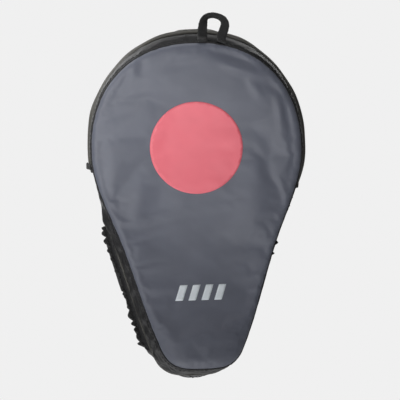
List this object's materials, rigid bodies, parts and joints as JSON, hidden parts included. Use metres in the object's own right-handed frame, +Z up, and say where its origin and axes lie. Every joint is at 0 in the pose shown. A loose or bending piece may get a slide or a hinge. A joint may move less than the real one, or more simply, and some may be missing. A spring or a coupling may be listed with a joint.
{
  "type": "focus mitt",
  "caption": "Curved teardrop focus mitt with a welted strike pad, printed round target, padded finger hood, palm ball, thumb loop, wrist wings with a hook-and-loop strap, and a hanging loop.",
  "frame": {"origin": "on the outside of the back panel at the centre of the palm, where the wearer's hand bears", "axes": "+X to the right as seen from the strike face, -Y the way the strike face looks, +Z up towards the fingertips and the hanging loop"},
  "size_m": [0.2009, 0.1179, 0.3333],
  "materials": {
    "pu_face_grey": "bluish dark grey synthetic leather with a fine grain, satin",
    "print_red": "flat red printed disc on the synthetic leather",
    "print_pale": "pale grey printed bars",
    "pu_black": "black synthetic leather with a fine grain",
    "foam_grey": "dense closed-cell foam",
    "foam_cream": "soft open-cell foam",
    "foam_dark": "firm closed-cell foam",
    "board_plastic": "thin plastic board",
    "pu_olive": "warm black synthetic leather with a fine grain",
    "mesh_lining": "black brushed lining cloth",
    "tape_black": "black ribbed polyester tape",
    "elastic_black": "black gathered elastic edging",
    "strap_black": "black woven polyester webbing",
    "loop_pile": "black soft loop pile",
    "hook_pile": "black stiff hook tape",
    "rubber_tab": "moulded black rubber tab with ribs"
  },
  "bodies": {
    "pad": {"strike_face": "pu_face_grey", "target_print": "print_red", "mark_print": "print_pale", "front_welt": "pu_black", "gusset_upper": "pu_black", "gusset_lower": "pu_black", "rear_welt": "pu_olive", "back_panel": "pu_black", "impact_foam": "foam_grey", "cushion_foam": "foam_cream", "support_foam": "foam_dark", "stiffener_board": "board_plastic", "hood_cover": "pu_olive", "hood_foam": "foam_grey", "hood_lining": "mesh_lining", "hood_binding": "tape_black", "palm_ball_cover": "pu_black", "palm_ball_foam": "foam_grey", "thumb_loop": "tape_black", "heel_pad_cover": "pu_black", "heel_pad_foam": "foam_grey", "loop_tape_ends": "tape_black", "wing_left_cover": "pu_black", "wing_left_foam": "foam_grey", "wing_left_lining": "mesh_lining", "wing_left_binding": "elastic_black", "strap_anchor": "strap_black", "wing_right_cover": "pu_black", "wing_right_foam": "foam_grey", "wing_right_lining": "mesh_lining", "wing_right_binding": "elastic_black", "loop_patch": "loop_pile"},
    "strap_base": {"strap_base_tape": "strap_black"},
    "strap_tip": {"strap_tip_tape": "strap_black", "hook_patch": "hook_pile", "strap_pull_tab": "rubber_tab"},
    "hang_loop": {"hang_loop_tape": "tape_black"}
  },
  "joints": [
    {"name": "strap_swing", "type": "hinge", "parent": "pad", "child": "strap_base", "pos_m": [-0.06931, 0.03389, -0.03272], "axis": [-0.2091, 0.0489, 0.9767], "range_deg": [0, 100]},
    {"name": "strap_peel", "type": "hinge", "parent": "strap_base", "child": "strap_tip", "pos_m": [-0.00506, 0.05001, -0.03353], "axis": [0.0496, 0.0499, 0.9975], "range_deg": [0, 130]},
    {"name": "loop_flop", "type": "hinge", "parent": "pad", "child": "hang_loop", "pos_m": [0.016, -0.0571, 0.1727], "axis": [1, 0, 0], "range_deg": [-50, 90]}
  ]
}
